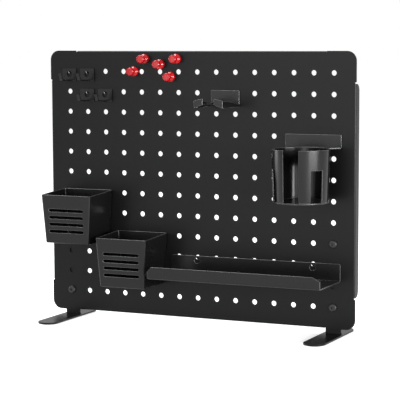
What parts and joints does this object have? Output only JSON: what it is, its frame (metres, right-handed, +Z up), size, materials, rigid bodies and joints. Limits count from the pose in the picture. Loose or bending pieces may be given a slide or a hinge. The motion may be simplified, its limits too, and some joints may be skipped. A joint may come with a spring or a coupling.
{
  "type": "pegboard desk organizer",
  "caption": "Desk pegboard of folded black steel on foot plates, with hung bins, a shelf, a can holder, hooks and push-pin magnets.",
  "frame": {"origin": "on the ground, midway between the feet and midway along their length", "axes": "+X to the right as seen from the front, +Y from the front towards the back of the panel, +Z up"},
  "size_m": [0.4048, 0.1202, 0.3345],
  "materials": {
    "black_powder_coat": "fine matte powder coat on folded steel sheet",
    "rubber_pad": "matte black rubber",
    "black_fastener": "black oxide, satin",
    "pin_red": "glossy red",
    "magnet_nickel": "nickel plate"
  },
  "bodies": {
    "stand": {"panel": "black_powder_coat", "left_foot": "black_powder_coat", "right_foot": "black_powder_coat", "left_foot_pads": "rubber_pad", "right_foot_pads": "rubber_pad", "left_foot_screws": "black_fastener", "right_foot_screws": "black_fastener", "left_foot_nuts": "black_fastener", "right_foot_nuts": "black_fastener"},
    "upper_bin": {"upper_bin": "black_powder_coat"},
    "lower_bin": {"lower_bin": "black_powder_coat"},
    "shelf": {"shelf": "black_powder_coat"},
    "can_holder": {"can_holder_bracket": "black_powder_coat", "can_holder_sleeve": "black_powder_coat", "can_holder_floor": "black_powder_coat"},
    "forked_hook": {"forked_hook": "black_powder_coat"},
    "small_hook_1": {"small_hook_1": "black_powder_coat"},
    "small_hook_2": {"small_hook_2": "black_powder_coat"},
    "small_hook_3": {"small_hook_3": "black_powder_coat"},
    "small_hook_4": {"small_hook_4": "black_powder_coat"},
    "pin_1": {"pin_1_cap": "pin_red", "pin_1_magnet": "magnet_nickel"},
    "pin_2": {"pin_2_cap": "pin_red", "pin_2_magnet": "magnet_nickel"},
    "pin_3": {"pin_3_cap": "pin_red", "pin_3_magnet": "magnet_nickel"},
    "pin_4": {"pin_4_cap": "pin_red", "pin_4_magnet": "magnet_nickel"},
    "pin_5": {"pin_5_cap": "pin_red", "pin_5_magnet": "magnet_nickel"}
  },
  "joints": [
    {"name": "upper_bin_lift_off", "type": "slide", "parent": "stand", "child": "upper_bin", "axis": [0, -0.7071, 0.7071], "range_m": [0, 0.06]},
    {"name": "lower_bin_lift_off", "type": "slide", "parent": "stand", "child": "lower_bin", "axis": [0, -0.7071, 0.7071], "range_m": [0, 0.06]},
    {"name": "shelf_lift_off", "type": "slide", "parent": "stand", "child": "shelf", "axis": [0, -0.7071, 0.7071], "range_m": [0, 0.06]},
    {"name": "can_holder_lift_off", "type": "slide", "parent": "stand", "child": "can_holder", "axis": [0, -0.7071, 0.7071], "range_m": [0, 0.06]},
    {"name": "forked_hook_lift_off", "type": "slide", "parent": "stand", "child": "forked_hook", "axis": [0, -0.7071, 0.7071], "range_m": [0, 0.06]},
    {"name": "small_hook_1_lift_off", "type": "slide", "parent": "stand", "child": "small_hook_1", "axis": [0, -0.7071, 0.7071], "range_m": [0, 0.0095]},
    {"name": "small_hook_2_lift_off", "type": "slide", "parent": "stand", "child": "small_hook_2", "axis": [0, -0.7071, 0.7071], "range_m": [0, 0.0095]},
    {"name": "small_hook_3_lift_off", "type": "slide", "parent": "stand", "child": "small_hook_3", "axis": [0, -0.7071, 0.7071], "range_m": [0, 0.0095]},
    {"name": "small_hook_4_lift_off", "type": "slide", "parent": "stand", "child": "small_hook_4", "axis": [0, -0.7071, 0.7071], "range_m": [0, 0.0095]},
    {"name": "pin_1_pull_off", "type": "slide", "parent": "stand", "child": "pin_1", "axis": [0, -1, 0], "range_m": [0, 0.02]},
    {"name": "pin_2_pull_off", "type": "slide", "parent": "stand", "child": "pin_2", "axis": [0, -1, 0], "range_m": [0, 0.02]},
    {"name": "pin_3_pull_off", "type": "slide", "parent": "stand", "child": "pin_3", "axis": [0, -1, 0], "range_m": [0, 0.02]},
    {"name": "pin_4_pull_off", "type": "slide", "parent": "stand", "child": "pin_4", "axis": [0, -1, 0], "range_m": [0, 0.02]},
    {"name": "pin_5_pull_off", "type": "slide", "parent": "stand", "child": "pin_5", "axis": [0, -1, 0], "range_m": [0, 0.02]}
  ]
}
